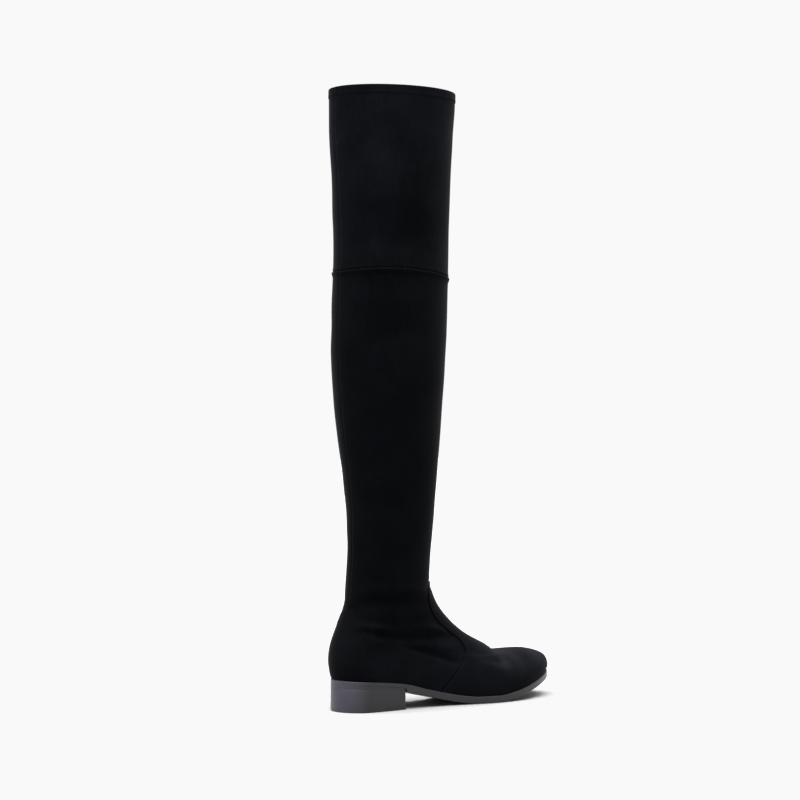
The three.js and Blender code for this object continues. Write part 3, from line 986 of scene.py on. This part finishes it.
def build_outsole(rubber):
    """One sheet with its outline, arch and toe spring, and edges that are slightly rounded."""

    def outline_point(turn):
        along = edge_outline(turn + 2 * tiny) - edge_outline(turn - 2 * tiny)
        return edge_outline(turn), Vector((along.y, -along.x, 0)).normalized()

    def bottom(x):
        past_heel = smoothstep(x, breast - 0.05 * mm, breast + 0.15 * mm)
        return lerp(seat_bottom(x), underside_height(x), past_heel)

    rows = [(share, edge_inset, bottom) for share in outsole_shares]
    rows += rounded_edge(bottom, sole_top, low=joint_scale)
    rows += [(share, edge_inset, sole_top) for share in reversed(outsole_shares)]
    bm = slab(outline_point, rows, outsole_columns)
    piece = new_mesh("outsole_rubber", bm, [rubber], "sole")
    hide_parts("outsole")


def block_outline(turn):
    """A point of the heel block's plan and its way out: a half round with a straight front."""
    straight = breast - heel_back - block_radius
    arc = math.pi * block_radius / 2
    total = 2 * (arc + straight + block_radius)
    way = (turn % 1.0) * total
    side = -1 if way <= total / 2 else 1
    way = min(way, total - way)
    centre = heel_back + block_radius
    if way < arc:
        angle = way / block_radius
        normal = Vector((-math.cos(angle), side * math.sin(angle), 0))
        return Vector((centre, 0, 0)) + normal * block_radius, normal
    if way < arc + straight:
        return Vector((centre + way - arc, side * block_radius, 0)), Vector((0, side, 0))
    across = block_radius - (way - arc - straight)
    return Vector((breast, side * across, 0)), Vector((1, 0, 0))


# Fine groove round the heel block, under its top: distance down and depth, in mm
block_groove = [(3.1, 0.00), (3.35, 0.14), (3.6, 0.00)]
heel_clearance = 0.04 * mm


def build_heel(rubber):
    """A low block with a round back and a straight breast, up to the outsole."""

    def floor(x):
        return 0.0

    def top(x):
        return seat_bottom(x) - heel_clearance

    def under_top(distance):
        return lambda x: top(x) - distance * mm

    rows = [(share, edge_inset, floor) for share in heel_shares]
    side_rows = rounded_edge(floor, top, high=joint_scale)
    above = len(side_rows) - len(edge_rounding)
    rows += side_rows[:above]
    rows += [(1, depth * mm, under_top(down)) for down, depth in reversed(block_groove)]
    rows += side_rows[above:]
    rows += [(share, edge_inset, top) for share in reversed(heel_shares)]
    bm = slab(block_outline, rows, heel_columns)
    piece = new_mesh("heel_block", bm, [rubber], "sole")
    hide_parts("heel")


def build_insole(lining):
    """A thin sheet that lies on the sole inside the upper."""

    def outline_point(turn):
        normal = form_normal(turn, 0)
        return form_point(turn, 0) - normal * (upper_wall + fit), normal

    def bottom(x):
        return feather_height(x)

    def top(x):
        return feather_height(x) + insole_thickness

    rows = [(share, edge_inset, bottom) for share in insole_shares]
    rows += rounded_edge(bottom, top)
    rows += [(share, edge_inset, top) for share in reversed(insole_shares)]
    bm = slab(outline_point, rows, insole_columns)
    piece = new_mesh("insole_cloth", bm, [lining], "lining")
    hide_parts("insole")


def thread(bm, start, end, normal, radius):
    """One stitch: a short thread that rises from the suede and goes back in."""
    middle = (start + end) / 2 + normal * radius * 0.7
    for tip in (start, end):
        foot = tip - normal * radius * 0.5
        along = middle - foot
        turn = along.to_track_quat("Z", "Y").to_matrix().to_4x4()
        bmesh.ops.create_cone(
            bm, cap_ends=True, segments=6, radius1=0.6 * radius, radius2=radius,
            depth=along.length, matrix=Matrix.Translation((foot + middle) / 2) @ turn,
        )


# Rows of stitches, in mm: how far in from the edge, the pitch, the stitch and its half thickness
seam_stitch = {"inset": 1.7, "pitch": 2.6, "long": 1.8, "thick": 0.12}
zigzag_stitch = {"half": 1.4, "pitch": 2.3, "thick": 0.10}
hem_stitch_down = 7.6
back_stitch_turns = (0.0045, 0.0155)
back_stitch_over_seam = 5 * mm
back_stitch_under_hem = 1 * mm


def stitch_row(bm, points, outs):
    """Even stitches along a line of points, whose ways out from the suede are outs."""
    gap, left = seam_stitch["pitch"] * mm, 0.0
    for start, end, normal in zip(points, points[1:], outs):
        along = end - start
        while left < along.length:
            foot = start + along.normalized() * left
            tip = foot + along.normalized() * seam_stitch["long"] * mm
            thread(bm, foot, tip, normal, seam_stitch["thick"] * mm)
            left += gap
        left -= along.length


def inset_line(places, out, inward):
    """Points of an edge moved in over the suede, with the way out at each."""
    points = [surface(turn, level, out) for turn, level in places]
    outs = [form_normal(turn, level) for turn, level in places]
    moved = []
    for i, (point, normal) in enumerate(zip(points, outs)):
        along = points[min(i + 1, len(points) - 1)] - points[max(i - 1, 0)]
        side = normal.cross(along).normalized() * inward
        moved.append(point + side * seam_stitch["inset"] * mm)
    return moved, outs


def build_foot_stitches(sewing):
    """One row of stitches along the vamp's edge on each side, and one under the counter's."""
    bm = bmesh.new()
    for side in (-1, 1):
        places = []
        for level in spread(overlay_foot, vamp_top_level - 0.004, 150):
            turn = vamp_turn(level, side)
            places.append((turn if side < 0 else 1 - turn, level))
        stitch_row(bm, *inset_line(places, vamp_out, side))
    places = []
    for reach in counter_reaches(240)[2:-2]:
        reach = reach or -tiny
        places.append((counter_turn(reach, counter_level(reach)), counter_level(reach)))
    stitch_row(bm, *inset_line(places, counter_out, 1))
    return new_mesh("foot_stitches", bm, [sewing], "suede")


def zigzag(bm, corner, count):
    for i in range(count):
        start, normal = corner(i)
        end, _ = corner(i + 1)
        thread(bm, start, end, normal, zigzag_stitch["thick"] * mm)


def build_hem_stitch(sewing):
    """Zigzag that holds the folded hem, right round under the top line."""
    bm = bmesh.new()
    around = math.pi * (thigh_depth + thigh_width) / 2
    count = 2 * round(around / (zigzag_stitch["pitch"] * mm) / 2)

    def corner(i):
        turn = (i % count) / count
        down = hem_stitch_down + (1 if i % 2 else -1) * zigzag_stitch["half"]
        level = 3 - down * mm / thigh_height
        return surface(turn, level, hem_step), form_normal(turn, level)

    zigzag(bm, corner, count)
    return new_mesh("hem_stitch", bm, [sewing], "suede")


def build_back_stitch(sewing):
    """Zigzag beside the centre seam of the thigh panel's back."""
    bm = bmesh.new()
    low = 2 + back_stitch_over_seam / thigh_height
    high = 3 - (hem_width + back_stitch_under_hem) / thigh_height
    count = round((high - low) * thigh_height / (zigzag_stitch["pitch"] * mm))

    def corner(i):
        level = lerp(low, high, i / count)
        turn = back_stitch_turns[i % 2]
        return surface(turn, level), form_normal(turn, level)

    zigzag(bm, corner, count)
    return new_mesh("back_stitch", bm, [sewing], "suede")


def new_material(name):
    material = bpy.data.materials.new(name)
    material.use_nodes = True
    nodes = material.node_tree.nodes
    return material, nodes, material.node_tree.links, nodes["Principled BSDF"]


def noise_node(nodes, links, coordinates, scale, detail, roughness=0.5):
    node = nodes.new("ShaderNodeTexNoise")
    node.inputs["Scale"].default_value = scale
    node.inputs["Detail"].default_value = detail
    node.inputs["Roughness"].default_value = roughness
    links.new(coordinates, node.inputs["Vector"])
    return node.outputs["Fac"]


def weighted_node(nodes, links, value, weight, added):
    node = nodes.new("ShaderNodeMath")
    node.operation = "MULTIPLY_ADD"
    links.new(value, node.inputs[0])
    node.inputs[1].default_value = weight
    links.new(added, node.inputs[2])
    return node.outputs["Value"]


def ramp_node(nodes, links, factor, stops):
    node = nodes.new("ShaderNodeValToRGB")
    ramp = node.color_ramp
    while len(ramp.elements) < len(stops):
        ramp.elements.new(0.5)
    for element, (position, colour) in zip(ramp.elements, stops):
        element.position = position
        element.color = (*colour, 1)
    links.new(factor, node.inputs["Fac"])
    return node.outputs["Color"]


def bump_node(nodes, links, height, distance, strength=1.0, under=None):
    node = nodes.new("ShaderNodeBump")
    node.inputs["Distance"].default_value = distance
    node.inputs["Strength"].default_value = strength
    links.new(height, node.inputs["Height"])
    if under:
        links.new(under, node.inputs["Normal"])
    return node.outputs["Normal"]


def scaled_node(nodes, links, colour, scale):
    node = nodes.new("ShaderNodeVectorMath")
    node.operation = "SCALE"
    links.new(colour, node.inputs[0])
    links.new(scale, node.inputs["Scale"])
    return node.outputs["Vector"]


def range_node(nodes, links, value, start, end, low, high):
    """Runs from low where the value is start to high where it is end."""
    node = nodes.new("ShaderNodeMapRange")
    node.interpolation_type = "SMOOTHSTEP"
    node.inputs["From Min"].default_value = start
    node.inputs["From Max"].default_value = end
    node.inputs["To Min"].default_value = low
    node.inputs["To Max"].default_value = high
    links.new(value, node.inputs["Value"])
    return node.outputs["Result"]


def suede_material(name, dark, light):
    """Brushed suede: a short nap, with patches where it lies another way, its colour scaled by the stored
    nap and painted light and shade.
    """
    material, nodes, links, shader = new_material(name)
    coordinates = nodes.new("ShaderNodeTexCoord").outputs["Object"]
    patches = noise_node(nodes, links, coordinates, 20, 3, 0.6)
    strokes = nodes.new("ShaderNodeMapping")
    strokes.inputs["Scale"].default_value = (1, 1, 0.3)
    links.new(coordinates, strokes.inputs["Vector"])
    brushed = noise_node(nodes, links, strokes.outputs["Vector"], 260, 3, 0.6)
    grain = noise_node(nodes, links, coordinates, 1500, 3, 0.7)
    tone = weighted_node(nodes, links, brushed, 0.35, patches)
    tone = weighted_node(nodes, links, grain, 0.25, tone)
    colour = ramp_node(nodes, links, tone, [(0.55, dark), (1.05, light)])
    # The colour is scaled by the stored attribute: the nap, with painted light and shade by height and in
    # spots.
    nap_and_painted_light = nodes.new("ShaderNodeAttribute")
    nap_and_painted_light.attribute_name = "nap_and_painted_light"
    shade = scaled_node(nodes, links, colour, nap_and_painted_light.outputs["Fac"])
    links.new(shade, shader.inputs["Base Color"])
    shader.inputs["Roughness"].default_value = 0.9
    shader.inputs["Specular IOR Level"].default_value = 0.02
    shader.inputs["Sheen Weight"].default_value = 0.034
    shader.inputs["Sheen Roughness"].default_value = 0.35
    shader.inputs["Sheen Tint"].default_value = (0.88, 0.87, 0.97, 1)
    fine = bump_node(nodes, links, grain, 0.10 * mm, 0.6)
    links.new(bump_node(nodes, links, brushed, 0.15 * mm, 0.5, fine), shader.inputs["Normal"])
    return material


# How many times lighter the painted highlight makes the rubber at the heel's back and at the toe
painted_highlight_at_heel = 5.0
painted_highlight_at_toe = 8.0


def rubber_material():
    """Smooth painted rubber of the sole edge and heel, dark grey with a soft gloss, with a painted
    highlight that makes it lighter at the back of the heel and at the toe."""
    material, nodes, links, shader = new_material("sole_rubber")
    coordinates = nodes.new("ShaderNodeTexCoord").outputs["Object"]
    patches = noise_node(nodes, links, coordinates, 60, 3)
    stops = [(0.3, (0.0030, 0.0028, 0.0044)), (0.7, (0.0045, 0.0042, 0.0066))]
    colour = ramp_node(nodes, links, patches, stops)
    along = nodes.new("ShaderNodeSeparateXYZ")
    links.new(coordinates, along.inputs["Vector"])
    x = along.outputs["X"]
    # Painted highlight: the colour grows lighter towards the back of the heel and the tip of the toe.
    at_heel = range_node(nodes, links, x, heel_back + 24 * mm, heel_back, 1, painted_highlight_at_heel)
    at_toe = range_node(nodes, links, x, sole_x(0.80), sole_x(1.0), 0, painted_highlight_at_toe)
    shade = scaled_node(nodes, links, colour, weighted_node(nodes, links, at_toe, 1, at_heel))
    links.new(shade, shader.inputs["Base Color"])
    shader.inputs["Specular IOR Level"].default_value = 0.45
    fine = noise_node(nodes, links, coordinates, 1400, 2)
    gloss = nodes.new("ShaderNodeMapRange")
    gloss.inputs["To Min"].default_value = 0.34
    gloss.inputs["To Max"].default_value = 0.46
    links.new(patches, gloss.inputs["Value"])
    links.new(gloss.outputs["Result"], shader.inputs["Roughness"])
    links.new(bump_node(nodes, links, fine, 0.05 * mm, 0.3), shader.inputs["Normal"])
    return material


def lining_material():
    """Plain woven lining, dark, with a fine rib."""
    material, nodes, links, shader = new_material("lining_cloth")
    coordinates = nodes.new("ShaderNodeTexCoord").outputs["Object"]
    patches = noise_node(nodes, links, coordinates, 40, 2)
    colour = ramp_node(nodes, links, patches, [(0.3, (0.010, 0.010, 0.012)), (0.7, (0.016, 0.016, 0.019))])
    links.new(colour, shader.inputs["Base Color"])
    shader.inputs["Roughness"].default_value = 0.85
    weave = noise_node(nodes, links, coordinates, 1600, 1)
    links.new(bump_node(nodes, links, weave, 0.15 * mm, 0.5), shader.inputs["Normal"])
    return material


def thread_material():
    """Black sewing thread with a slight gloss."""
    material, nodes, links, shader = new_material("thread")
    shader.inputs["Base Color"].default_value = (0.0012, 0.0015, 0.0020, 1)
    shader.inputs["Roughness"].default_value = 0.6
    shader.inputs["Specular IOR Level"].default_value = 0.08
    coordinates = nodes.new("ShaderNodeTexCoord").outputs["Object"]
    twist = noise_node(nodes, links, coordinates, 2500, 1)
    links.new(bump_node(nodes, links, twist, 0.05 * mm, 0.5), shader.inputs["Normal"])
    return material


def add_camera():
    """The photograph's view: from behind and from the outer side, close to level."""
    data = bpy.data.cameras.new("camera")
    data.sensor_width = 36
    data.lens = 87.9
    camera = bpy.data.objects.new("camera", data)
    camera.location = (-1.1125, -1.5944, 0.262)
    camera.rotation_euler = (math.radians(91.32), 0, math.radians(-36))
    bpy.context.scene.collection.objects.link(camera)
    bpy.context.scene.camera = camera


# Brightness of the room's white in the picture, its walls, its ceiling and its floor
paper_white = 0.947
wall_light = 1.02
ceiling_light = 14.0
floor_tone = 0.25
floor_size = 30

# The ceiling is round this direction, and fades to the walls between these two cosines
lamp_side = (-0.15, -0.04, 1)
ceiling_fade = (0.66, 0.95)


def add_floor():
    """A plain pale floor."""
    bm = bmesh.new()
    bmesh.ops.create_grid(bm, x_segments=1, y_segments=1, size=floor_size)
    mesh = bpy.data.meshes.new("floor")
    bm.to_mesh(mesh)
    bm.free()
    material, _, _, shader = new_material("floor")
    shader.inputs["Base Color"].default_value = (floor_tone, floor_tone, floor_tone, 1)
    shader.inputs["Roughness"].default_value = 0.9
    shader.inputs["Specular IOR Level"].default_value = 0.1
    mesh.materials.append(material)
    floor = bpy.data.objects.new("floor", mesh)
    bpy.context.scene.collection.objects.link(floor)


def add_studio():
    """Soft even light from a white room whose ceiling is its lamp."""
    world = bpy.data.worlds.new("room")
    bpy.context.scene.world = world
    world.use_nodes = True
    nodes = world.node_tree.nodes
    links = world.node_tree.links
    direction = nodes.new("ShaderNodeTexCoord").outputs["Generated"]
    towards = nodes.new("ShaderNodeVectorMath")
    towards.operation = "DOT_PRODUCT"
    links.new(direction, towards.inputs[0])
    towards.inputs[1].default_value = Vector(lamp_side).normalized()
    ceiling = range_node(
        nodes, links, towards.outputs["Value"], *ceiling_fade, wall_light, ceiling_light
    )
    background = nodes["Background"]
    background.inputs["Color"].default_value = (1, 1, 1, 1)
    links.new(ceiling, background.inputs["Strength"])


def set_paper_white():
    """Shows what is brighter than the room's white as that white."""
    view = bpy.context.scene.view_settings
    view.view_transform = "Standard"
    view.use_curve_mapping = True
    mapping = view.curve_mapping
    mapping.extend = "HORIZONTAL"
    curve = mapping.curves[3]
    curve.points[0].location = (0, 0)
    curve.points[1].location = (1, paper_white)
    mapping.update()


set_paper_white()
add_camera()
add_floor()
add_studio()

suede = suede_material("suede", (0.00045, 0.0006, 0.00086), (0.00126, 0.0016, 0.0022))
foot_suede = suede_material("foot_suede", (0.0006, 0.0007, 0.00097), (0.00128, 0.00142, 0.00187))
# A lighter suede for the counter's rim: a painted highlight along its edge.
painted_edge_highlight = suede_material("painted_edge_highlight", (0.0016, 0.0017, 0.0021), (0.0030, 0.0031, 0.0038))
rubber = rubber_material()
lining = lining_material()
sewing = thread_material()

build_upper(suede, lining)
build_thigh_panel(suede, lining)
build_vamp(foot_suede)
build_counter(foot_suede, painted_edge_highlight)
build_outsole(rubber)
build_heel(rubber)
build_insole(lining)
build_foot_stitches(sewing)
build_hem_stitch(sewing)
build_back_stitch(sewing)
